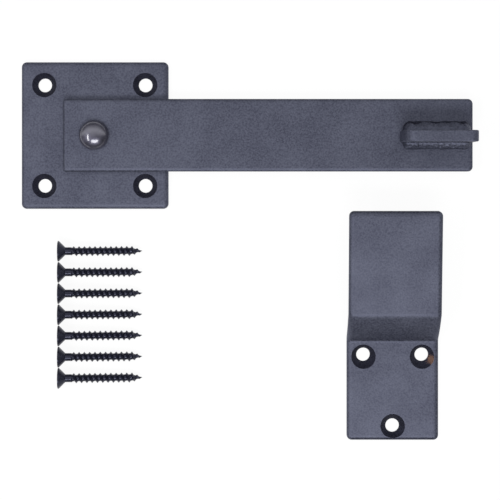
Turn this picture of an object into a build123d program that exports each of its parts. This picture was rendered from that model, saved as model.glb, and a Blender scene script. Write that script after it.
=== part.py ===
from build123d import *
import os
from math import asin, atan, cos, degrees, radians, sin, tan

# A gate latch laid out flat as it comes out of its packet: a back plate with a bar on a domed rivet,
# a lift tab welded on edge near the bar's free end, a joggled keeper and seven countersunk screws.
# Millimetres. The origin is on the pivot axis, in the mounting face of the back plate.
# +X runs along the bar to its free end, +Y is up when the latch hangs on a gate, +Z points off the gate.
os.makedirs("parts", exist_ok=True)

# Back plate, blanked from flat steel
plate_side = 60.0
plate_thickness = 3.0
plate_corner_radius = 2.1
plate_hole_inset = 9.4

# Latch bar, cut from flat steel
bar_width = 29.5
bar_thickness = 3.0
bar_tail = 12.5
bar_reach = 153.9
bar_tail_corner_radius = 0.9
bar_tip_corner_radius = 2.0

# Pivot rivet: domed head, plain shank, tail peened flush into the back of the plate
rivet_head_diameter = 12.2
rivet_head_height = 4.3
rivet_head_rim = 0.5
rivet_shank_diameter = 7.0
rivet_tail_diameter = 9.6
rivet_tail_recess = 0.1
rivet_fit = 0.02
pivot_clearance = 0.05
bar_play = 0.15

# Lift tab, a fin of flat steel stood on edge on the bar
tab_length = 29.6
tab_height = 15.5
tab_thickness = 4.5
tab_below_centre_line = 0.7
tab_front_corner_radius = 3.0
tab_back_corner_radius = 5.0

# Fillet welds along both sides of the tab, laid by hand, so the upper one is the heavier
upper_weld_leg = 4.2
lower_weld_leg = 3.0
weld_end_share = 0.5
weld_end_taper = 2.5
weld_end_gap = 1.0

# Keeper, folded from flat steel: a foot on the post, a joggle and a lip that the bar drops behind
keeper_width = 37.4
keeper_thickness = 3.0
keeper_corner_radius = 2.0
keeper_foot_length = 39.9
keeper_rise = 9.8
keeper_lip_length = 40.9
joggle_angle = 41.0
lip_flare = 5.0
bend_radius = 1.5
keeper_lower_hole_inset = 5.8
keeper_upper_hole_inset = 5.0
keeper_hole_side_inset = 6.75
keeper_upper_countersink_drop = 0.7

# Screws, and the countersunk holes that take them
screw_length = 34.3
screw_head_diameter = 8.4
screw_thread_diameter = 3.9
screw_point_length = 4.2
screw_count = 7
screw_hole_diameter = 5.6
countersink_diameter = 9.9
countersink_angle = 90.0

# Broken front edges of the flat steel
edge_break = 0.5

# How the loose pieces lie beside the latch
keeper_below_bar = 15.75
keeper_back_from_bar_end = 32.2
screws_below_plate = 17.2
screws_in_from_plate_side = 15.1
screw_gap = 0.23

# Heights of the stack on the pivot, and how far a cutter runs past the face that it cuts
bar_underside = plate_thickness + bar_play
bar_top = bar_underside + bar_thickness
cut_margin = 1.0


def eased(steel):
    """The same flat steel with the rim of its front broken. A rim edge is on only one front face."""
    front_faces = [face for face in steel.faces() if face.normal_at(face.center()).Z > 0.5]
    front_edges = [edge for face in front_faces for edge in face.edges()]
    rim = [edge for edge in front_edges if sum(edge.is_same(other) for other in front_edges) == 1]
    return chamfer(rim, edge_break)


def screw_hole(thickness, countersink_drop=0.0):
    """Cutter for a through hole on the z axis and its countersink, which a pointed drill cut below it."""
    mouth_radius = countersink_diameter / 2
    drill_length = mouth_radius / tan(radians(countersink_angle / 2))
    hole = Pos(0, 0, thickness / 2) * Cylinder(screw_hole_diameter / 2, thickness + 2 * cut_margin)
    drill = Cone(0, mouth_radius, drill_length)
    return hole + Pos(0, -countersink_drop, thickness - drill_length / 2) * drill


def make_back_plate():
    """Square plate with a countersunk hole near each corner and the seat of the rivet's tail behind."""
    outline = RectangleRounded(plate_side, plate_side, plate_corner_radius)
    blank = eased(extrude(outline, plate_thickness))
    hole_spacing = plate_side - 2 * plate_hole_inset
    holes = GridLocations(hole_spacing, hole_spacing, 2, 2) * screw_hole(plate_thickness)

    shank_hole_radius = rivet_shank_diameter / 2 + rivet_fit
    mouth_radius = rivet_tail_diameter / 2 + rivet_tail_recess + rivet_fit
    seat_depth = mouth_radius - shank_hole_radius
    seat_section = Polyline(
        (0, -cut_margin),
        (mouth_radius + cut_margin, -cut_margin),
        (shank_hole_radius, seat_depth),
        (shank_hole_radius, plate_thickness + cut_margin),
        (0, plate_thickness + cut_margin),
        close=True,
    )
    rivet_seat = revolve(Plane.XZ * make_face(seat_section), Axis.Z)
    return blank - holes - rivet_seat


def make_pivot_rivet():
    """Solid rivet, turned about the pivot axis: flush tail, shank and a low domed head over the bar."""
    shank_radius = rivet_shank_diameter / 2
    tail_radius = rivet_tail_diameter / 2
    head_radius = rivet_head_diameter / 2
    head_base = bar_top + bar_play
    dome_foot = head_base + rivet_head_rim
    dome_height = rivet_head_height - rivet_head_rim
    dome_radius = (head_radius**2 + dome_height**2) / (2 * dome_height)
    dome_centre = dome_foot + dome_height - dome_radius
    half_way = asin(head_radius / dome_radius) / 2

    outline = Polyline(
        (0, rivet_tail_recess),
        (tail_radius, rivet_tail_recess),
        (shank_radius, rivet_tail_recess + tail_radius - shank_radius),
        (shank_radius, head_base),
        (head_radius, head_base),
        (head_radius, dome_foot),
    )
    dome = ThreePointArc(
        (head_radius, dome_foot),
        (dome_radius * sin(half_way), dome_centre + dome_radius * cos(half_way)),
        (0, dome_foot + dome_height),
    )
    axis_line = Line((0, dome_foot + dome_height), (0, rivet_tail_recess))
    section = make_face(Curve() + [outline, dome, axis_line])
    return revolve(Plane.XZ * section, Axis.Z)


def make_latch_bar():
    """Flat bar with eased edges, nearly square corners at its tail and rounder ones at its free end."""
    outline = Pos((bar_reach - bar_tail) / 2, 0) * Rectangle(bar_reach + bar_tail, bar_width)
    ends = outline.vertices().group_by(Axis.X)
    outline = fillet(ends[0], bar_tail_corner_radius)
    ends = outline.vertices().group_by(Axis.X)
    outline = fillet(ends[-1], bar_tip_corner_radius)
    blank = eased(extrude(Pos(0, 0, bar_underside) * outline, bar_thickness))
    bore_radius = rivet_shank_diameter / 2 + pivot_clearance
    bore = Cylinder(bore_radius, bar_thickness + 2 * cut_margin)
    return blank - Pos(0, 0, bar_underside + bar_thickness / 2) * bore


def make_lift_tab():
    """Fin along the bar, flush with its end and just below its centre line, its upper corners cut round."""
    middle = (bar_reach - tab_length / 2, bar_top + tab_height / 2)
    side = Pos(*middle) * Rectangle(tab_length, tab_height)
    back_corner = side.vertices().group_by(Axis.Y)[-1].sort_by(Axis.X)[0]
    side = fillet(back_corner, tab_back_corner_radius)
    front_corner = side.vertices().group_by(Axis.Y)[-1].sort_by(Axis.X)[-1]
    side = fillet(front_corner, tab_front_corner_radius)
    fin = extrude(Plane.XZ * side, tab_thickness / 2, both=True)
    broad_faces = fin.faces().sort_by(Axis.Y)
    rims = broad_faces[0].edges() + broad_faces[-1].edges()
    above_foot = ShapeList(rims).group_by(Axis.Z)[1:]
    fin = chamfer([edge for level in above_foot for edge in level], edge_break)
    return Pos(0, -tab_below_centre_line, 0) * fin


def make_tab_weld(side, leg):
    """Fillet bead in the corner between the bar and one side of the tab, +1 for +Y. Its ends taper off."""
    tab_face = side * tab_thickness / 2 - tab_below_centre_line
    back_end = bar_reach - tab_length + weld_end_gap
    front_end = bar_reach - weld_end_gap
    stations = [
        (back_end, leg * weld_end_share),
        (back_end + weld_end_taper, leg),
        (front_end - weld_end_taper, leg),
        (front_end, leg * weld_end_share),
    ]
    sections = []
    for x, reach in stations:
        corner = Plane(origin=(x, tab_face, bar_top), x_dir=(0, 1, 0), z_dir=(1, 0, 0))
        sections.append(corner * make_face(Polyline((side * reach, 0), (0, 0), (0, reach), close=True)))
    return loft(sections, ruled=True)


def keeper_line(height, lower_radius, upper_radius):
    """One face of the keeper seen from its side: foot, bend up, slope, bend back and flared lip."""
    outer_radius = bend_radius + keeper_thickness
    rise_in_bends = outer_radius * (1 - cos(radians(joggle_angle)))
    rise_in_bends += bend_radius * (cos(radians(lip_flare)) - cos(radians(joggle_angle)))
    slope_length = (keeper_rise - rise_in_bends) / sin(radians(joggle_angle))
    foot = Line((0, height), (keeper_foot_length, height))
    lower_bend = JernArc(foot @ 1, foot % 1, lower_radius, joggle_angle)
    slope = Line(lower_bend @ 1, lower_bend @ 1 + (lower_bend % 1) * slope_length)
    upper_bend = JernArc(slope @ 1, slope % 1, upper_radius, lip_flare - joggle_angle)
    lip = Line(upper_bend @ 1, upper_bend @ 1 + (upper_bend % 1) * keeper_lip_length)
    return [foot, lower_bend, slope, upper_bend, lip]


def make_keeper():
    """Strip folded through two bends, with its lip up, two screw holes by the joggle and one at the foot."""
    outer_radius = bend_radius + keeper_thickness
    underside = keeper_line(0, outer_radius, bend_radius)
    upperside = keeper_line(keeper_thickness, bend_radius, outer_radius)
    foot_end = Line(underside[0] @ 0, upperside[0] @ 0)
    lip_end = Line(underside[-1] @ 1, upperside[-1] @ 1)
    section = make_face(Curve() + underside + upperside + [foot_end, lip_end])
    strip = extrude(Plane.YZ * section, keeper_width / 2, both=True)

    by_length = strip.faces().sort_by(Axis.Y)
    corners = by_length[0].edges().filter_by(Axis.Z)
    corners += by_length[-1].edges().filter_by(Axis.X, reverse=True)
    strip = fillet(corners, keeper_corner_radius)
    strip = eased(strip)

    hole_spacing = keeper_width - 2 * keeper_hole_side_inset
    upper_hole_y = keeper_foot_length - keeper_upper_hole_inset
    for x in (-hole_spacing / 2, hole_spacing / 2):
        strip -= Pos(x, upper_hole_y, 0) * screw_hole(keeper_thickness, keeper_upper_countersink_drop)
    strip -= Pos(0, keeper_lower_hole_inset, 0) * screw_hole(keeper_thickness)

    plan_length = strip.bounding_box().max.Y
    lip_end_y = -bar_width / 2 - keeper_below_bar
    return Pos(bar_reach - keeper_back_from_bar_end, lip_end_y - plan_length, 0) * strip


def make_screw():
    """Countersunk screw along +X, its head face at x = 0, with the thread as its smooth outer envelope."""
    head_radius = screw_head_diameter / 2
    thread_radius = screw_thread_diameter / 2
    cone_length = (head_radius - thread_radius) / tan(radians(countersink_angle / 2))
    outline = Polyline(
        (0, 0),
        (0, head_radius),
        (cone_length, thread_radius),
        (screw_length - screw_point_length, thread_radius),
        (screw_length, 0),
        close=True,
    )
    return revolve(make_face(outline), Axis.X)


def lying(screw):
    """The screw come to rest on a flat surface, on its head's rim and on the last full thread."""
    head_radius = screw_head_diameter / 2
    thread_radius = screw_thread_diameter / 2
    lean = atan((head_radius - thread_radius) / (screw_length - screw_point_length))
    return Pos(0, 0, head_radius * cos(lean)) * Rot(0, degrees(lean), 0) * screw


export_step(make_back_plate(), "parts/back_plate.step")
export_step(make_pivot_rivet(), "parts/pivot_rivet.step")
export_step(make_latch_bar(), "parts/latch_bar.step")
export_step(make_lift_tab(), "parts/lift_tab.step")
export_step(make_tab_weld(1, upper_weld_leg), "parts/tab_weld_upper.step")
export_step(make_tab_weld(-1, lower_weld_leg), "parts/tab_weld_lower.step")
export_step(make_keeper(), "parts/keeper.step")

lying_screw = lying(make_screw())
screw_x = -plate_side / 2 + screws_in_from_plate_side
first_screw_y = -plate_side / 2 - screws_below_plate
screw_pitch = screw_head_diameter + screw_gap
for number in range(screw_count):
    place = Pos(screw_x, first_screw_y - number * screw_pitch, 0)
    export_step(place * lying_screw, f"parts/screw_{number + 1}.step")
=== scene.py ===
from math import atan, cos, pi, radians, sin, tan

import bmesh
import bpy
from mathutils import Matrix, Vector, noise


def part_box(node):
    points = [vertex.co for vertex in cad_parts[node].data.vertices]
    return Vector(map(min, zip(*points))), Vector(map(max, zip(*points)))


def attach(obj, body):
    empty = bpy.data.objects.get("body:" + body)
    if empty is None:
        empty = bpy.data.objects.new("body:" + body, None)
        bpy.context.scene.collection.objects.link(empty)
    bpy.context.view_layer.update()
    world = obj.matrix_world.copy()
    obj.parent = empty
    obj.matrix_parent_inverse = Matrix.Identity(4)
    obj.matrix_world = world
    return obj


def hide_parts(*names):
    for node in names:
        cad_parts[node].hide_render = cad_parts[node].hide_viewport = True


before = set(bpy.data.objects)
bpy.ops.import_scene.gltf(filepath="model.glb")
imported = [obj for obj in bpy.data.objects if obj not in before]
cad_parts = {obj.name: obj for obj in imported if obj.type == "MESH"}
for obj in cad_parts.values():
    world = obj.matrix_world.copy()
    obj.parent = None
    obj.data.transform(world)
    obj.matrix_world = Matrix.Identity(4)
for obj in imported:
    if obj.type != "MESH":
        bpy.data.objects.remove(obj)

scene = bpy.context.scene
scene.view_settings.view_transform = "Standard"
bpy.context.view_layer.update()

# The table
# A white sheet that everything lies on. It looks white to the camera and in every gloss, and keeps
# a faint shadow of the object.
table_reach = 20.0
table_drop = 0.00005
table_glow = 0.93
table_paint = 0.08
table_bounce = 0.7

table_mesh = bpy.data.meshes.new("table")
table_mesh.from_pydata(
    [(x * table_reach, y * table_reach, -table_drop) for x, y in ((-1, -1), (1, -1), (1, 1), (-1, 1))],
    [],
    [(0, 1, 2, 3)],
)
table = bpy.data.objects.new("table", table_mesh)
scene.collection.objects.link(table)

sheet = bpy.data.materials.new("white_sheet")
sheet.use_nodes = True
nodes, links = sheet.node_tree.nodes, sheet.node_tree.links
nodes.clear()
output = nodes.new("ShaderNodeOutputMaterial")
seen_or_bounced = nodes.new("ShaderNodeMixShader")
seen = nodes.new("ShaderNodeAddShader")
glow = nodes.new("ShaderNodeEmission")
glow.inputs["Strength"].default_value = table_glow
thin_paint = nodes.new("ShaderNodeBsdfDiffuse")
thin_paint.inputs["Color"].default_value = (table_paint,) * 3 + (1,)
paint = nodes.new("ShaderNodeBsdfDiffuse")
paint.inputs["Color"].default_value = (table_bounce,) * 3 + (1,)
ray = nodes.new("ShaderNodeLightPath")
direct_or_glossy = nodes.new("ShaderNodeMath")
direct_or_glossy.operation = "MAXIMUM"
looked_at = nodes.new("ShaderNodeMath")
looked_at.operation = "MAXIMUM"
links.new(ray.outputs["Is Camera Ray"], direct_or_glossy.inputs[0])
links.new(ray.outputs["Is Glossy Ray"], direct_or_glossy.inputs[1])
links.new(direct_or_glossy.outputs[0], looked_at.inputs[0])
links.new(ray.outputs["Is Transmission Ray"], looked_at.inputs[1])
links.new(glow.outputs[0], seen.inputs[0])
links.new(thin_paint.outputs[0], seen.inputs[1])
links.new(looked_at.outputs[0], seen_or_bounced.inputs[0])
links.new(paint.outputs[0], seen_or_bounced.inputs[1])
links.new(seen.outputs[0], seen_or_bounced.inputs[2])
links.new(seen_or_bounced.outputs[0], output.inputs["Surface"])
table_mesh.materials.append(sheet)

# The studio round the table
# A long white ceiling panel a little behind the table with dark walls round it, a soft lamp in
# front of the latch and a narrow strip to its left.
panel_glow = 1.2
wall_glow = 0.05
panel_middle = radians(28)
panel_reach = radians(46)
watts_per_radiance = 4

studio = bpy.data.worlds.new("studio")
scene.world = studio
studio.use_nodes = True
nodes, links = studio.node_tree.nodes, studio.node_tree.links
background = nodes["Background"]
background.inputs["Color"].default_value = (1, 1, 1, 1)
direction = nodes.new("ShaderNodeTexCoord")
split = nodes.new("ShaderNodeSeparateXYZ")
tilt = nodes.new("ShaderNodeMath")
tilt.operation = "ARCTAN2"
off_middle = nodes.new("ShaderNodeMath")
off_middle.operation = "SUBTRACT"
off_middle.inputs[1].default_value = panel_middle
distance = nodes.new("ShaderNodeMath")
distance.operation = "ABSOLUTE"
fade = nodes.new("ShaderNodeMapRange")
fade.interpolation_type = "SMOOTHSTEP"
fade.inputs["From Max"].default_value = panel_reach
fade.inputs["To Min"].default_value = panel_glow
fade.inputs["To Max"].default_value = wall_glow
links.new(direction.outputs["Generated"], split.inputs[0])
links.new(split.outputs["Y"], tilt.inputs[0])
links.new(split.outputs["Z"], tilt.inputs[1])
links.new(tilt.outputs[0], off_middle.inputs[0])
links.new(off_middle.outputs[0], distance.inputs[0])
links.new(distance.outputs[0], fade.inputs["Value"])
links.new(fade.outputs["Result"], background.inputs["Strength"])


def hang_lamp(name, place, along, length, width, radiance):
    """A soft lamp that faces the pivot, with its long side laid along a direction."""
    lamp = bpy.data.lights.new(name, "AREA")
    lamp.shape = "RECTANGLE"
    lamp.size = length
    lamp.size_y = width
    lamp.energy = watts_per_radiance * length * width * radiance
    holder = bpy.data.objects.new(name, lamp)
    holder.location = place
    back = Vector(place).normalized()
    side = (Vector(along) - back * back.dot(along)).normalized()
    holder.rotation_euler = Matrix((side, back.cross(side), back)).transposed().to_euler()
    scene.collection.objects.link(holder)


hang_lamp("front_lamp", (0.09, -0.60, 0.825), (1, 0, 0), 0.66, 0.32, 6.6)
hang_lamp("left_strip", (-0.54, -0.23, 0.80), (0, 1, 0), 0.60, 0.10, 10.0)

# The camera
# It looks straight down from half a metre. The frame is slid towards the keeper, not turned.
camera_height = 0.5
camera_x = 0.0634
camera_y = -0.0182
frame_slide = -0.14
lens_width = 36.0
pixels_per_unit_slope = 1217.2
photo_width = 500.0

camera = bpy.data.objects.new("camera", bpy.data.cameras.new("camera"))
camera.data.sensor_width = lens_width
camera.data.lens = lens_width * pixels_per_unit_slope / photo_width
camera.data.shift_y = frame_slide
camera.location = (camera_x, camera_y, camera_height)
scene.collection.objects.link(camera)
scene.camera = camera

# Back plate
# A square of 3 mm steel with four countersunk holes, its front edges softened by shearing and by a
# satin slate powder coat with a fine orange peel. The rivet's tail sits in a countersink behind.
steel_thickness = 0.003
plate_corner_radius = 0.0021
plate_hole_inset = 0.0094
hole_radius = 0.0028
countersink_radius = 0.00495
front_rim = 0.0014
front_roll = 0.0021
back_rim = 0.0004
hole_rim = 0.0003
hole_rim_turns = (45, 35, 26, 17, 8)
least_corner = 0.00005
rivet_shank_radius = 0.00352
rivet_seat_radius = 0.00492
corner_steps = 10
rim_steps = 6
round_steps = 64
spare = 0.001
doubles_within = 1e-7
flat_enough = 0.95
sheet_sharp_angle = radians(40)
flat_face_weight = 100
coat_dark = (0.064, 0.068, 0.101)
coat_light = (0.136, 0.145, 0.197)
coat_mottle = 0.75
# A thinner coat, about three times darker than the plain one, for holes, countersinks and weld toes: its
# darkness is painted shade of these recesses.
thin_coat_and_shade_dark = (0.022, 0.023, 0.040)
thin_coat_and_shade_light = (0.046, 0.048, 0.075)
coat_flake = 0.85
coat_roughness = (0.50, 0.64)
coat_peel_size = 0.0007
coat_peel_spread = (0.3, 0.7)
coat_patch_size = 0.012
coat_patch_spread = (0.35, 0.65)
coat_bump = 0.6
coat_bump_height = 0.00004


def powder_coat(name, dark, light):
    """Satin slate powder coat: broad faint patches, a fine mottle, and an orange peel in its gloss."""
    material = bpy.data.materials.new(name)
    material.use_nodes = True
    nodes, links = material.node_tree.nodes, material.node_tree.links
    shader = nodes["Principled BSDF"]
    shader.inputs["Metallic"].default_value = coat_flake
    place = nodes.new("ShaderNodeTexCoord")

    def cloud(size, detail, span):
        pattern = nodes.new("ShaderNodeTexNoise")
        pattern.inputs["Scale"].default_value = 1 / size
        pattern.inputs["Detail"].default_value = detail
        spread = nodes.new("ShaderNodeMapRange")
        spread.inputs["From Min"].default_value, spread.inputs["From Max"].default_value = span
        links.new(place.outputs["Object"], pattern.inputs["Vector"])
        links.new(pattern.outputs["Fac"], spread.inputs["Value"])
        return spread

    patches = cloud(coat_patch_size, 2, coat_patch_spread)
    peel = cloud(coat_peel_size, 1, coat_peel_spread)
    blend = nodes.new("ShaderNodeMix")
    blend.data_type = "FLOAT"
    blend.inputs["Factor"].default_value = coat_mottle
    links.new(patches.outputs["Result"], blend.inputs["A"])
    links.new(peel.outputs["Result"], blend.inputs["B"])
    tint = nodes.new("ShaderNodeMix")
    tint.data_type = "RGBA"
    tint.inputs["A"].default_value = dark + (1,)
    tint.inputs["B"].default_value = light + (1,)
    links.new(blend.outputs["Result"], tint.inputs["Factor"])
    links.new(tint.outputs["Result"], shader.inputs["Base Color"])
    gloss = nodes.new("ShaderNodeMapRange")
    gloss.inputs["To Min"].default_value, gloss.inputs["To Max"].default_value = coat_roughness
    links.new(peel.outputs["Result"], gloss.inputs["Value"])
    links.new(gloss.outputs["Result"], shader.inputs["Roughness"])
    bump = nodes.new("ShaderNodeBump")
    bump.inputs["Strength"].default_value = coat_bump
    bump.inputs["Distance"].default_value = coat_bump_height
    links.new(peel.outputs["Result"], bump.inputs["Height"])
    links.new(bump.outputs["Normal"], shader.inputs["Normal"])
    return material


def rounded_outline(corners):
    """Points round a flat outline whose corners are (along, across, radius)."""
    points = []
    for number, (x, y, radius) in enumerate(corners):
        corner = Vector((x, y))
        back = (Vector(corners[number - 1][:2]) - corner).normalized()
        ahead = (Vector(corners[(number + 1) % len(corners)][:2]) - corner).normalized()
        if not radius:
            points.append(corner)
            continue
        half = back.angle(ahead) / 2
        centre = corner + (back + ahead).normalized() * radius / sin(half)
        start = corner + back * radius / tan(half) - centre
        end = corner + ahead * radius / tan(half) - centre
        turn = pi - 2 * half
        for step in range(corner_steps + 1):
            share = step / corner_steps
            spoke = start * sin((1 - share) * turn) + end * sin(share * turn)
            points.append(centre + spoke / sin(turn))
    return points


def rectangle(left, bottom, right, top, radii, inset, foot_inset=None):
    """The corners of a rounded rectangle that has shrunk by an inset all round, or less at its foot."""
    foot = inset if foot_inset is None else foot_inset
    places = [(left + inset, bottom + foot), (right - inset, bottom + foot)]
    places += [(right - inset, top - inset), (left + inset, top - inset)]
    shrunk = [radius and max(radius - inset, least_corner) for radius in radii]
    return [(x, y, radius) for (x, y), radius in zip(places, shrunk)]


def rounded_wall(low, high, low_rim, high_rim, high_roll=None):
    """The edge of a sheet in section, as (inset, height): a small round below, a broader one above."""
    roll = high_roll or high_rim
    turns = [pi / 2 * step / rim_steps for step in range(rim_steps + 1)]
    wall = [(low_rim * (1 - sin(turn)), low + low_rim * (1 - cos(turn))) for turn in turns]
    wall += [(roll * (1 - cos(turn)), high - high_rim * (1 - sin(turn))) for turn in turns]
    return wall


def sheet_metal(name, outline_at, wall, place=lambda x, y, height: (x, y, height)):
    """A closed solid: its outline, which follows the inset of its wall, carried up and put in place."""
    shape = bmesh.new()
    rings = []
    for inset, height in wall:
        points = rounded_outline(outline_at(inset))
        rings.append([shape.verts.new(place(x, y, height)) for x, y in points])
    shape.faces.new(rings[0])
    shape.faces.new(rings[-1])
    for lower, upper in zip(rings, rings[1:]):
        for number in range(len(lower)):
            shape.faces.new((lower[number - 1], lower[number], upper[number], upper[number - 1]))
    return solid(name, shape)


def lathe(name, profile, centre, steps=round_steps):
    """A closed solid turned about a vertical axis. The profile is (radius, height) from pole to pole."""
    shape = bmesh.new()
    x, y = centre
    rings = []
    for radius, height in profile:
        if radius == 0:
            rings.append([shape.verts.new((x, y, height))] * steps)
            continue
        turns = [2 * pi * step / steps for step in range(steps)]
        rings.append([shape.verts.new((x + radius * cos(t), y + radius * sin(t), height)) for t in turns])
    for inner, outer in zip(rings, rings[1:]):
        for step in range(steps):
            loop = [inner[step - 1], inner[step], outer[step], outer[step - 1]]
            shape.faces.new(list(dict.fromkeys(loop)))
    return solid(name, shape)


def solid(name, shape):
    """The finished mesh as an object in the scene, with every face turned outwards."""
    bmesh.ops.recalc_face_normals(shape, faces=shape.faces)
    mesh = bpy.data.meshes.new(name)
    shape.to_mesh(mesh)
    shape.free()
    thing = bpy.data.objects.new(name, mesh)
    scene.collection.objects.link(thing)
    return thing


def bake_modifiers(thing):
    """The object's own mesh becomes what its modifiers show, and they are gone."""
    bpy.context.view_layer.update()
    seen_now = thing.evaluated_get(bpy.context.evaluated_depsgraph_get())
    mesh = bpy.data.meshes.new_from_object(seen_now)
    thing.modifiers.clear()
    thing.data = mesh


def cut(thing, cutters):
    """Takes the cutters out of the solid and removes them."""
    for cutter in cutters:
        bite = thing.modifiers.new("bite", "BOOLEAN")
        bite.operation = "DIFFERENCE"
        bite.solver = "EXACT"
        bite.object = cutter
    bake_modifiers(thing)
    for cutter in cutters:
        bpy.data.objects.remove(cutter)


def screw_hole(centre, face, drop=0.0):
    """Cutters for a through hole and for the countersink that a pointed drill cut below it."""
    x, y = centre
    low, high = face - steel_thickness - spare, face + spare
    hole = lathe("hole", [(0, low), (hole_radius, low), (hole_radius, high), (0, high)], centre)
    profile = [(0, face - countersink_radius)]
    lip = countersink_radius + hole_rim * tan(pi / 8)
    for turn in hole_rim_turns:
        away = radians(turn)
        profile.append((lip - hole_rim * sin(away), face - hole_rim * (1 - cos(away))))
    flare = spare * tan(radians(hole_rim_turns[-1]))
    profile += [(lip + spare, face + flare), (lip + spare, high), (0, high)]
    return [hole, lathe("drill", profile, (x, y - drop))]


def smooth_shading(shape, sharp_angle):
    """Rounds look round, and edges that turn by more than the angle stay sharp."""
    for face in shape.faces:
        face.smooth = True
    for edge in shape.edges:
        edge.smooth = edge.calc_face_angle(0) < sharp_angle


def finish_steel(thing, holes=(), face_height=0.0):
    """The coat, with a thinner and much darker coat in the drilled holes that also paints their shade, and
    smooth shading that keeps the broad flats flat.
    """
    shape = bmesh.new()
    shape.from_mesh(thing.data)
    bmesh.ops.remove_doubles(shape, verts=shape.verts, dist=doubles_within)
    for face in shape.faces:
        middle = face.calc_center_median()
        for x, y, drop in holes:
            from_hole = (middle.xy - Vector((x, y))).length
            from_drill = (middle.xy - Vector((x, y - drop))).length
            in_cone = abs(face_height - middle.z - countersink_radius + from_drill) < hole_rim
            # Hole walls and countersink cones take the darker coat, which paints the shade inside them.
            if from_hole < hole_radius or in_cone and face.normal.z < flat_enough:
                face.material_index = 1
    thing.data.materials.append(coat)
    if holes:
        thing.data.materials.append(thin_coat_and_painted_shade)
    smooth_shading(shape, sheet_sharp_angle)
    shape.to_mesh(thing.data)
    shape.free()
    shading = thing.modifiers.new("shading", "WEIGHTED_NORMAL")
    shading.mode = "FACE_AREA"
    shading.weight = flat_face_weight
    shading.keep_sharp = True
    bake_modifiers(thing)


low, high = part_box("back_plate")
hole_places = [
    (x, y)
    for x in (low.x + plate_hole_inset, high.x - plate_hole_inset)
    for y in (low.y + plate_hole_inset, high.y - plate_hole_inset)
]
coat = powder_coat("slate_powder_coat", coat_dark, coat_light)
# The darker coat paints the shade in holes, countersinks and weld crevices.
thin_coat_and_painted_shade = powder_coat("thin_powder_coat_and_painted_shade", thin_coat_and_shade_dark, thin_coat_and_shade_light)
back_plate = sheet_metal(
    "coated_back_plate",
    lambda inset: rectangle(low.x, low.y, high.x, high.y, [plate_corner_radius] * 4, inset),
    rounded_wall(low.z, high.z, back_rim, front_rim, front_roll),
)
seat = lathe(
    "seat",
    [
        (0, low.z - spare),
        (rivet_seat_radius + spare, low.z - spare),
        (rivet_shank_radius, low.z + rivet_seat_radius - rivet_shank_radius),
        (rivet_shank_radius, high.z + spare),
        (0, high.z + spare),
    ],
    (0, 0),
)
cutters = [seat]
for place in hole_places:
    cutters += screw_hole(place, high.z)
cut(back_plate, cutters)
finish_steel(back_plate, [(x, y, 0) for x, y in hole_places], high.z)
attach(back_plate, "base")
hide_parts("back_plate")

# Pivot rivet
# One turned steel pin: a low dome, flatter on top and steep at its rim, a plain shank, and a tail
# that was peened flush into the back plate. Darkened, with a smooth glossy skin.
shank_radius = 0.0035
tail_radius = 0.0048
rivet_steps = 128
dome_rings = 28
rivet_sharp_angle = radians(30)
rivet_metallic = 0.8
rivet_grain = 400
rivet_dark = (0.060, 0.060, 0.088)
rivet_light = (0.165, 0.160, 0.215)
rivet_roughness = (0.34, 0.50)
rivet_skin_roughness = 0.11
rivet_skin_ior = 1.7
grain_spread = (0.3, 0.7)


def dark_steel(name, metallic, grain, detail, dark, light, roughness):
    """Smooth dark steel whose tint and roughness follow one fine noise."""
    material = bpy.data.materials.new(name)
    material.use_nodes = True
    nodes, links = material.node_tree.nodes, material.node_tree.links
    shader = nodes["Principled BSDF"]
    shader.inputs["Metallic"].default_value = metallic
    place = nodes.new("ShaderNodeTexCoord")
    smear = nodes.new("ShaderNodeTexNoise")
    smear.inputs["Scale"].default_value = grain
    smear.inputs["Detail"].default_value = detail
    tint = nodes.new("ShaderNodeMix")
    tint.data_type = "RGBA"
    tint.inputs["A"].default_value = dark + (1,)
    tint.inputs["B"].default_value = light + (1,)
    gloss = nodes.new("ShaderNodeMapRange")
    gloss.inputs["From Min"].default_value, gloss.inputs["From Max"].default_value = grain_spread
    gloss.inputs["To Min"].default_value, gloss.inputs["To Max"].default_value = roughness
    links.new(place.outputs["Object"], smear.inputs["Vector"])
    links.new(smear.outputs["Fac"], tint.inputs["Factor"])
    links.new(smear.outputs["Fac"], gloss.inputs["Value"])
    links.new(tint.outputs["Result"], shader.inputs["Base Color"])
    links.new(gloss.outputs["Result"], shader.inputs["Roughness"])
    return material


low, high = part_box("pivot_rivet")
dome_radius = high.x
bar_low, bar_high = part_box("latch_bar")
dome_base = bar_high.z + (bar_low.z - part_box("back_plate")[1].z)
dome_height = high.z - dome_base
profile = [
    (0, low.z),
    (tail_radius, low.z),
    (shank_radius, low.z + tail_radius - shank_radius),
    (shank_radius, dome_base),
]
for ring in range(dome_rings):
    angle = pi / 2 * (1 - ring / dome_rings)
    profile.append((dome_radius * sin(angle), dome_base + dome_height * cos(angle)))
profile.append((0, high.z))
rivet = lathe("domed_pivot_rivet", profile, (0, 0), rivet_steps)
shape = bmesh.new()
shape.from_mesh(rivet.data)
smooth_shading(shape, rivet_sharp_angle)
shape.to_mesh(rivet.data)
shape.free()
rivet_steel = dark_steel(
    "darkened_rivet_steel", rivet_metallic, rivet_grain, 4, rivet_dark, rivet_light, rivet_roughness
)
shader = rivet_steel.node_tree.nodes["Principled BSDF"]
shader.inputs["Coat Weight"].default_value = 1.0
shader.inputs["Coat Roughness"].default_value = rivet_skin_roughness
shader.inputs["Coat IOR"].default_value = rivet_skin_ior
rivet.data.materials.append(rivet_steel)
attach(rivet, "base")
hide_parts("pivot_rivet")

# Latch bar
# A length of 3 mm flat steel with sheared, softened edges and a bore at one end, where it turns on
# the rivet's shank. Coated like the plate.
bar_tail_corner_radius = 0.0009
bar_tip_corner_radius = 0.002
bar_bore_radius = 0.00355
bar_rim = 0.0010
bar_roll = 0.0016

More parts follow.
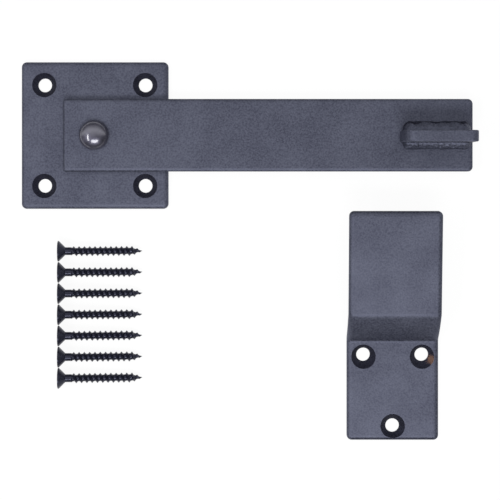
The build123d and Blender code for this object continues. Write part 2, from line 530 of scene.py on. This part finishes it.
low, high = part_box("latch_bar")
bar_corners = [bar_tail_corner_radius, bar_tip_corner_radius, bar_tip_corner_radius, bar_tail_corner_radius]
latch_bar = sheet_metal(
    "coated_latch_bar",
    lambda inset: rectangle(low.x, low.y, high.x, high.y, bar_corners, inset),
    rounded_wall(low.z, high.z, back_rim, bar_rim, bar_roll),
)
under, over = low.z - spare, high.z + spare
bore = lathe("bore", [(0, under), (bar_bore_radius, under), (bar_bore_radius, over), (0, over)], (0, 0))
cut(latch_bar, [bore])
finish_steel(latch_bar)
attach(latch_bar, "bar")
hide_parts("latch_bar")

# Lift tab
# A fin of flat steel stood on edge on the bar, with its two upper corners cut round, so that a
# finger can flip the bar over. Coated with the bar.
tab_front_corner_radius = 0.003
tab_back_corner_radius = 0.005
tab_rim = 0.0005

low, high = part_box("lift_tab")
tab_corners = [0, 0, tab_front_corner_radius, tab_back_corner_radius]
lift_tab = sheet_metal(
    "coated_lift_tab",
    lambda inset: rectangle(low.x, low.z, high.x, high.z, tab_corners, inset, 0.0),
    rounded_wall(low.y, high.y, tab_rim, tab_rim),
    lambda x, z, y: (x, y, z),
)
finish_steel(lift_tab)
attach(lift_tab, "bar")
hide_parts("lift_tab")

# Fillet welds
# Two beads laid by hand along the foot of the tab and coated over, with a thin, darker coat in the crevice
# at their toes that paints its shade. The one above is full and even with a steep toe, and the one below is
# flatter and lumpy.
bead_stations = 220
bead_steps = 18
bead_sink = 0.00006
bead_end_fill = 0.12
bead_waver = 0.05
ripple_bow = 0.0006
wobble_length = 0.004
ripple_wander = 0.35
lump_length = 0.0013
lump_turns = 1.9
lump_at_toes = 0.35
painted_shade_toe_mean = 0.9
painted_shade_toe_spread = 0.5


def weld_bead(name, node, side, fullness, crevice, ripple, ripple_depth, lump, seed):
    """A wavy bead that fills the box of its solid, from its toe on the bar to its toe on the tab.

    Fullness is 0 for a flat bead, 1 for a quarter round and more for a bulge. From the toe on the bar
    up to the crevice angle, it takes the thin, darker coat, which paints the shade of the crevice.
    """
    low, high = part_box(node)
    leg = high.z - low.z
    root_y = low.y if side > 0 else high.y
    shape = bmesh.new()
    rows = []
    for station in range(bead_stations + 1):
        share = station / bead_stations
        x = low.x + (high.x - low.x) * share
        near_end = min(share, 1 - share) * (high.x - low.x) / leg
        swell = min(1.0, (1 - (1 - min(near_end, 1.0)) ** 2) ** 0.5 + bead_end_fill)
        row = []
        for step in range(bead_steps + 1):
            angle = pi / 2 * step / bead_steps
            flat = 1 / (cos(angle) + sin(angle))
            reach = flat + (1 - flat) * fullness
            crest = sin(2 * angle)
            bow = x - side * ripple_bow * crest
            wobble = noise.noise(Vector((x / wobble_length, seed, 0.3)))
            beat = cos(2 * pi * (bow / ripple + ripple_wander * wobble))
            bump = noise.noise(Vector((x / lump_length, angle * lump_turns, seed + 5)))
            dip = ripple_depth * crest * (0.5 - 0.5 * beat)
            dent = lump * (lump_at_toes + (1 - lump_at_toes) * crest) * (0.5 + bump)
            reach *= 1 - dip - dent
            reach *= swell * (1 - bead_waver + bead_waver * wobble)
            across = root_y + side * leg * reach * cos(angle)
            up = low.z + leg * reach * sin(angle)
            if step == 0:
                up -= bead_sink
            if step == bead_steps:
                across -= side * bead_sink
            row.append(shape.verts.new((x, across, up)))
        row.append(shape.verts.new((x, root_y - side * bead_sink, low.z - bead_sink)))
        rows.append(row)
    for one, other in zip(rows, rows[1:]):
        patchy = noise.noise(Vector((one[0].co.x / wobble_length, seed, 7.7)))
        # Faces from the toe up to the crevice angle take the darker coat, painted shade of the crevice.
        painted_shade_to = crevice * (painted_shade_toe_mean + painted_shade_toe_spread * patchy)
        for step in range(len(one)):
            face = shape.faces.new((one[step - 1], one[step], other[step], other[step - 1]))
            face.material_index = int(0 < step < painted_shade_to / (pi / 2) * bead_steps)
    shape.faces.new(rows[0])
    shape.faces.new(rows[-1])
    for face in shape.faces:
        face.smooth = True
    bead = solid(name, shape)
    bead.data.materials.append(coat)
    bead.data.materials.append(thin_coat_and_painted_shade)
    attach(bead, "bar")
    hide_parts(node)


weld_bead("upper_weld_bead", "tab_weld_upper", 1, 1.3, radians(46), 0.0034, 0.02, 0.08, 1.0)
weld_bead("lower_weld_bead", "tab_weld_lower", -1, 0.9, radians(10), 0.0024, 0.03, 0.13, 4.0)

# Keeper
# A strip of 3 mm steel pressed into a joggle, so that its lip stands off the post and the bar drops
# behind it. The slope is bowed and steepest at the foot. Three countersunk holes, one with a chip.
keeper_corner_radius = 0.002
keeper_foot_length = 0.0399
keeper_rise = 0.0098
keeper_lip_length = 0.04098
slope_foot_angle = radians(49)
slope_top_angle = radians(33)
lip_flare = radians(5)
bend_radius = 0.0015
bend_steps = 12
keeper_lower_hole_inset = 0.0058
keeper_upper_hole_inset = 0.005
keeper_hole_side_inset = 0.00675
keeper_upper_countersink_drop = 0.0007
chip_offset = (0.0040, -0.0020)
chip_depth = 0.001
chip_radius = 0.0017
chip_ragged_scale = 2600
chip_fade = (0.62, 0.42)
chip_colour = (0.24, 0.14, 0.105)

outer_radius = bend_radius + steel_thickness
rise_in_bends = outer_radius * (1 - cos(slope_foot_angle))
rise_in_bends += bend_radius * (cos(lip_flare) - cos(slope_top_angle))
slope_radius = (keeper_rise - rise_in_bends) / (cos(slope_top_angle) - cos(slope_foot_angle))
slope_length = slope_radius * (slope_foot_angle - slope_top_angle)
low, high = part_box("keeper")
foot_y = low.y


def folded(x, along, depth):
    """A point of the flat strip after folding. Along runs up the strip and depth from its back."""
    if along <= keeper_foot_length:
        return x, foot_y + along, depth
    along -= keeper_foot_length
    start = Vector((foot_y + keeper_foot_length, 0))
    if along <= bend_steps:
        turn = slope_foot_angle * along / bend_steps
        arm = outer_radius - depth
        return x, start.x + arm * sin(turn), outer_radius - arm * cos(turn)
    along -= bend_steps
    start += Vector((outer_radius * sin(slope_foot_angle), outer_radius * (1 - cos(slope_foot_angle))))
    hub = start - slope_radius * Vector((-sin(slope_foot_angle), cos(slope_foot_angle)))
    if along <= slope_length:
        turn = slope_foot_angle - along / slope_radius
        point = hub + (slope_radius + depth) * Vector((-sin(turn), cos(turn)))
        return x, point.x, point.y
    along -= slope_length
    hub += (slope_radius - bend_radius) * Vector((-sin(slope_top_angle), cos(slope_top_angle)))
    if along <= bend_steps:
        turn = slope_top_angle + (lip_flare - slope_top_angle) * along / bend_steps
        point = hub + (bend_radius + depth) * Vector((-sin(turn), cos(turn)))
        return x, point.x, point.y
    along -= bend_steps
    point = hub + (bend_radius + depth) * Vector((-sin(lip_flare), cos(lip_flare)))
    point += along * Vector((cos(lip_flare), sin(lip_flare)))
    return x, point.x, point.y


slope_start = keeper_foot_length + bend_steps
lip_start = slope_start + slope_length + bend_steps
strip_length = lip_start + keeper_lip_length
keeper = sheet_metal(
    "coated_keeper",
    lambda inset: rectangle(low.x, 0.0, high.x, strip_length, [keeper_corner_radius] * 4, inset),
    rounded_wall(0.0, steel_thickness, back_rim, front_rim, front_roll),
)
shape = bmesh.new()
shape.from_mesh(keeper.data)
folds = [keeper_foot_length + step for step in range(bend_steps + 1)]
folds += [slope_start + slope_length * step / bend_steps for step in range(1, bend_steps)]
folds += [slope_start + slope_length + step for step in range(bend_steps + 1)]
for fold in folds:
    everything = shape.verts[:] + shape.edges[:] + shape.faces[:]
    bmesh.ops.bisect_plane(shape, geom=everything, plane_co=(0, fold, 0), plane_no=(0, 1, 0), dist=1e-9)
for vertex in shape.verts:
    vertex.co = folded(*vertex.co)
bmesh.ops.recalc_face_normals(shape, faces=shape.faces)
shape.to_mesh(keeper.data)
shape.free()
upper_y = foot_y + keeper_foot_length - keeper_upper_hole_inset
upper_left = (low.x + keeper_hole_side_inset, upper_y)
upper_right = (high.x - keeper_hole_side_inset, upper_y)
lower_middle = ((low.x + high.x) / 2, foot_y + keeper_lower_hole_inset)
cutters = screw_hole(upper_left, steel_thickness, keeper_upper_countersink_drop)
cutters += screw_hole(upper_right, steel_thickness, keeper_upper_countersink_drop)
cutters += screw_hole(lower_middle, steel_thickness)
cut(keeper, cutters)

# The chip, a ragged spot of bare metal in the thin, darker coat of the upper right countersink, a coat
# whose darkness is painted shade of the recess.
nodes, links = thin_coat_and_painted_shade.node_tree.nodes, thin_coat_and_painted_shade.node_tree.links
shader = nodes["Principled BSDF"]
place = nodes.new("ShaderNodeTexCoord")
from_chip = nodes.new("ShaderNodeVectorMath")
from_chip.operation = "DISTANCE"
chip_x, chip_y = upper_right[0] + chip_offset[0], upper_right[1] + chip_offset[1]
from_chip.inputs[1].default_value = (chip_x, chip_y, steel_thickness - chip_depth)
ragged = nodes.new("ShaderNodeTexNoise")
ragged.inputs["Scale"].default_value = chip_ragged_scale
rough_distance = nodes.new("ShaderNodeMath")
rough_distance.operation = "MULTIPLY"
chipped = nodes.new("ShaderNodeMapRange")
chipped.inputs["From Min"].default_value = chip_radius * chip_fade[0]
chipped.inputs["From Max"].default_value = chip_radius * chip_fade[1]
bared = nodes.new("ShaderNodeMix")
bared.data_type = "RGBA"
bared.inputs["B"].default_value = chip_colour + (1,)
links.new(place.outputs["Object"], from_chip.inputs[0])
links.new(place.outputs["Object"], ragged.inputs["Vector"])
links.new(from_chip.outputs["Value"], rough_distance.inputs[0])
links.new(ragged.outputs["Fac"], rough_distance.inputs[1])
links.new(rough_distance.outputs[0], chipped.inputs["Value"])
links.new(chipped.outputs["Result"], bared.inputs["Factor"])
links.new(shader.inputs["Base Color"].links[0].from_socket, bared.inputs["A"])
links.new(bared.outputs["Result"], shader.inputs["Base Color"])

drop = keeper_upper_countersink_drop
keeper_holes = [upper_left + (drop,), upper_right + (drop,), lower_middle + (0,)]
finish_steel(keeper, keeper_holes, steel_thickness)
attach(keeper, "base")
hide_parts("keeper")

# Screws
# Seven countersunk wood screws of black phosphated steel, rolled and threaded to the tip, with a
# cross recess. They lie side by side on the rims of their heads and on the last full thread.
screw_count = 7
screw_length = 0.0343
head_radius = 0.0042
head_rim = 0.00045
head_edge = 0.00012
neck_radius = 0.0016
neck_length = 0.0053
core_radius = 0.0013
thread_radius = 0.00205
thread_pitch = 0.00215
point_length = 0.0042
recess_span = 0.0046
recess_width = 0.0012
recess_depth = 0.0023
screw_sides = 32
rows_per_pitch = 12
crest_half_width = 0.30
# A whole number of the screw's sides, so that the thread's first row meets the ring of the neck.
thread_start_turn = 22 / screw_sides
thread_roll_in = 0.4
crest_fade = 0.6
recess_taper = 0.35
recess_proud = 0.0001
rings_join_within = 1e-6
screw_sharp_angle = radians(35)
screw_metallic = 0.6
screw_grain = 1500
screw_dark = (0.008, 0.009, 0.020)
screw_light = (0.034, 0.036, 0.064)
screw_roughness = (0.22, 0.4)

screw_steel = dark_steel(
    "black_phosphated_steel", screw_metallic, screw_grain, 3, screw_dark, screw_light, screw_roughness
)

tree = bpy.data.node_groups.new("row_of_wood_screws", "GeometryNodeTree")
sockets = {}


def named_input(name, kind="NodeSocketFloat"):
    sockets[name] = tree.interface.new_socket(name, in_out="INPUT", socket_type=kind).identifier


for name in (
    "Length", "Head radius", "Head rim", "Head edge", "Neck radius", "Neck length", "Core radius",
    "Thread radius", "Thread pitch", "Point length", "Recess span", "Recess width", "Recess depth",
    "Spacing", "Lean", "Axis height",
):
    named_input(name)
named_input("Count", "NodeSocketInt")
named_input("First place", "NodeSocketVector")
named_input("Steel", "NodeSocketMaterial")
tree.interface.new_socket("Geometry", in_out="OUTPUT", socket_type="NodeSocketGeometry")
given = tree.nodes.new("NodeGroupInput").outputs
result = tree.nodes.new("NodeGroupOutput").inputs[0]


def feed(socket, value):
    """A node's input gets a link where the value is a socket, and the value itself otherwise."""
    if isinstance(value, bpy.types.NodeSocket):
        tree.links.new(value, socket)
    else:
        socket.default_value = value


def sum_of(operation, *values):
    node = tree.nodes.new("ShaderNodeMath")
    node.operation = operation
    for socket, value in zip(node.inputs, values):
        feed(socket, value)
    return node.outputs[0]


def vector_of(x, y, z):
    node = tree.nodes.new("ShaderNodeCombineXYZ")
    for socket, value in zip(node.inputs, (x, y, z)):
        feed(socket, value)
    return node.outputs[0]


def moved(geometry, translation=(0, 0, 0), rotation=(0, 0, 0), scale=(1, 1, 1)):
    node = tree.nodes.new("GeometryNodeTransform")
    feed(node.inputs["Geometry"], geometry)
    feed(node.inputs["Translation"], translation)
    feed(node.inputs["Rotation"], rotation)
    feed(node.inputs["Scale"], scale)
    return node.outputs[0]


def joined(*parts):
    node = tree.nodes.new("GeometryNodeJoinGeometry")
    for part in reversed(parts):
        tree.links.new(part, node.inputs[0])
    return node.outputs[0]


def open_cone(sides, low_radius, high_radius, depth, height):
    """The wall of a cone about the screw's axis, from one height up by its depth."""
    node = tree.nodes.new("GeometryNodeMeshCone")
    node.fill_type = "NONE"
    feed(node.inputs["Vertices"], sides)
    feed(node.inputs["Radius Bottom"], low_radius)
    feed(node.inputs["Radius Top"], high_radius)
    feed(node.inputs["Depth"], depth)
    return moved(node.outputs["Mesh"], vector_of(0, 0, height))


# The threaded shank is one sheet wound round the axis. Its rows follow the helix, and rows that
# would pass the neck or the tip are gathered there.
length, pitch = given["Length"], given["Thread pitch"]
neck_end = given["Neck length"]
row_count = round((screw_length - neck_length + thread_pitch) / thread_pitch * rows_per_pitch) + 1
wound = tree.nodes.new("GeometryNodeMeshGrid")
wound.inputs["Size X"].default_value = 1
wound.inputs["Size Y"].default_value = row_count
wound.inputs["Vertices X"].default_value = screw_sides + 1
wound.inputs["Vertices Y"].default_value = row_count + 1
position = tree.nodes.new("GeometryNodeInputPosition")
cell = tree.nodes.new("ShaderNodeSeparateXYZ")
tree.links.new(position.outputs[0], cell.inputs[0])
turn = sum_of("ADD", cell.outputs["X"], 0.5)
pitches = sum_of("DIVIDE", sum_of("ADD", cell.outputs["Y"], row_count / 2), rows_per_pitch)
from_neck = sum_of("MULTIPLY", pitch, sum_of("SUBTRACT", sum_of("ADD", pitches, turn), 1.0))
shank_length = sum_of("SUBTRACT", length, neck_end)
run = sum_of("MINIMUM", sum_of("MAXIMUM", from_neck, 0.0), shank_length)
to_tip = sum_of("DIVIDE", sum_of("SUBTRACT", shank_length, run), given["Point length"])
taper = sum_of("MINIMUM", to_tip, 1.0)
rolled_in = sum_of("MINIMUM", sum_of("DIVIDE", run, sum_of("MULTIPLY", pitch, thread_roll_in)), 1.0)
neck_less_core = sum_of("SUBTRACT", given["Neck radius"], given["Core radius"])
bare = sum_of("SUBTRACT", given["Neck radius"], sum_of("MULTIPLY", neck_less_core, rolled_in))
core = sum_of("MULTIPLY", bare, taper)
phase = sum_of("FRACT", sum_of("ADD", pitches, 0.5))
from_crest = sum_of("DIVIDE", sum_of("ABSOLUTE", sum_of("SUBTRACT", phase, 0.5)), crest_half_width)
ridge = sum_of("MAXIMUM", sum_of("SUBTRACT", 1.0, from_crest), 0.0)
crest_height = sum_of("SUBTRACT", given["Thread radius"], given["Core radius"])
thinned = sum_of("MULTIPLY", sum_of("POWER", taper, crest_fade), rolled_in)
radius = sum_of("ADD", core, sum_of("MULTIPLY", ridge, sum_of("MULTIPLY", crest_height, thinned)))
angle = sum_of("MULTIPLY", sum_of("ADD", turn, thread_start_turn), 2 * pi)
shank = tree.nodes.new("GeometryNodeSetPosition")
tree.links.new(wound.outputs["Mesh"], shank.inputs["Geometry"])
feed(
    shank.inputs["Position"],
    vector_of(
        sum_of("MULTIPLY", radius, sum_of("COSINE", angle)),
        sum_of("MULTIPLY", radius, sum_of("SINE", angle)),
        sum_of("ADD", neck_end, run),
    ),
)

# The head: a flat face, a small broken edge, an upright rim and the cone that seats in the plate.
face_radius = sum_of("SUBTRACT", given["Head radius"], given["Head edge"])
face = tree.nodes.new("GeometryNodeMeshCircle")
face.fill_type = "NGON"
face.inputs["Vertices"].default_value = screw_sides
feed(face.inputs["Radius"], face_radius)
upright = sum_of("SUBTRACT", given["Head rim"], given["Head edge"])
cone_depth = sum_of("SUBTRACT", given["Head radius"], given["Neck radius"])
cone_end = sum_of("ADD", given["Head rim"], cone_depth)
neck_run = sum_of("SUBTRACT", neck_end, cone_end)
whole = joined(
    moved(face.outputs["Mesh"], rotation=(pi, 0, 0)),
    open_cone(screw_sides, face_radius, given["Head radius"], given["Head edge"], 0.0),
    open_cone(screw_sides, given["Head radius"], given["Head radius"], upright, given["Head edge"]),
    open_cone(screw_sides, given["Head radius"], given["Neck radius"], cone_depth, given["Head rim"]),
    open_cone(screw_sides, given["Neck radius"], given["Neck radius"], neck_run, cone_end),
    shank.outputs["Geometry"],
)
closed = tree.nodes.new("GeometryNodeMergeByDistance")
closed.inputs["Distance"].default_value = rings_join_within
tree.links.new(whole, closed.inputs["Geometry"])

# The cross recess: two tapered blades driven into the head.
blade = tree.nodes.new("GeometryNodeMeshCone")
blade.fill_type = "NGON"
blade.inputs["Vertices"].default_value = 4
half_diagonal = sum_of("MULTIPLY", given["Recess span"], 2**-0.5)
feed(blade.inputs["Radius Bottom"], half_diagonal)
feed(blade.inputs["Radius Top"], sum_of("MULTIPLY", half_diagonal, recess_taper))
feed(blade.inputs["Depth"], given["Recess depth"])
square = moved(blade.outputs["Mesh"], (0, 0, -recess_proud), (0, 0, pi / 4))
slimness = sum_of("DIVIDE", given["Recess width"], given["Recess span"])
recess = tree.nodes.new("GeometryNodeMeshBoolean")
recess.operation = "DIFFERENCE"
recess.solver = "EXACT"
tree.links.new(closed.outputs["Geometry"], recess.inputs["Mesh 1"])
tree.links.new(moved(square, scale=vector_of(1, slimness, 1)), recess.inputs["Mesh 2"])
tree.links.new(moved(square, scale=vector_of(slimness, 1, 1)), recess.inputs["Mesh 2"])

# Laid down on its head's rim and its last full thread, and repeated down the row.
lying = moved(
    recess.outputs["Mesh"],
    vector_of(0, 0, given["Axis height"]),
    vector_of(0, sum_of("ADD", given["Lean"], pi / 2), 0),
)
row = tree.nodes.new("GeometryNodeMeshLine")
row.mode = "OFFSET"
feed(row.inputs["Count"], given["Count"])
feed(row.inputs["Start Location"], given["First place"])
feed(row.inputs["Offset"], vector_of(0, sum_of("MULTIPLY", given["Spacing"], -1.0), 0))
repeat = tree.nodes.new("GeometryNodeInstanceOnPoints")
tree.links.new(row.outputs["Mesh"], repeat.inputs["Points"])
tree.links.new(lying, repeat.inputs["Instance"])
real = tree.nodes.new("GeometryNodeRealizeInstances")
tree.links.new(repeat.outputs["Instances"], real.inputs["Geometry"])
steel = tree.nodes.new("GeometryNodeSetMaterial")
tree.links.new(real.outputs["Geometry"], steel.inputs["Geometry"])
feed(steel.inputs["Material"], given["Steel"])
tree.links.new(steel.outputs["Geometry"], result)

first_low, first_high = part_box("screw_1")
last_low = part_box(f"screw_{screw_count}")[0]
lean = atan((head_radius - thread_radius) / (screw_length - point_length - head_rim))
axis_height = head_radius * cos(lean) + head_rim * sin(lean)
head_x = first_low.x + head_radius * sin(lean)
screws = bpy.data.objects.new("wood_screws", bpy.data.meshes.new("wood_screws"))
scene.collection.objects.link(screws)
maker = screws.modifiers.new("row", "NODES")
maker.node_group = tree
for name, value in {
    "Length": screw_length,
    "Head radius": head_radius,
    "Head rim": head_rim,
    "Head edge": head_edge,
    "Neck radius": neck_radius,
    "Neck length": neck_length,
    "Core radius": core_radius,
    "Thread radius": thread_radius,
    "Thread pitch": thread_pitch,
    "Point length": point_length,
    "Recess span": recess_span,
    "Recess width": recess_width,
    "Recess depth": recess_depth,
    "Spacing": (first_low.y - last_low.y) / (screw_count - 1),
    "Lean": lean,
    "Axis height": axis_height,
    "Count": screw_count,
    "First place": (head_x, (first_low.y + first_high.y) / 2, 0.0),
    "Steel": screw_steel,
}.items():
    maker[sockets[name]] = value
bake_modifiers(screws)
shape = bmesh.new()
shape.from_mesh(screws.data)
smooth_shading(shape, screw_sharp_angle)
shape.to_mesh(screws.data)
shape.free()
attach(screws, "base")
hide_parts(*[f"screw_{number + 1}" for number in range(screw_count)])
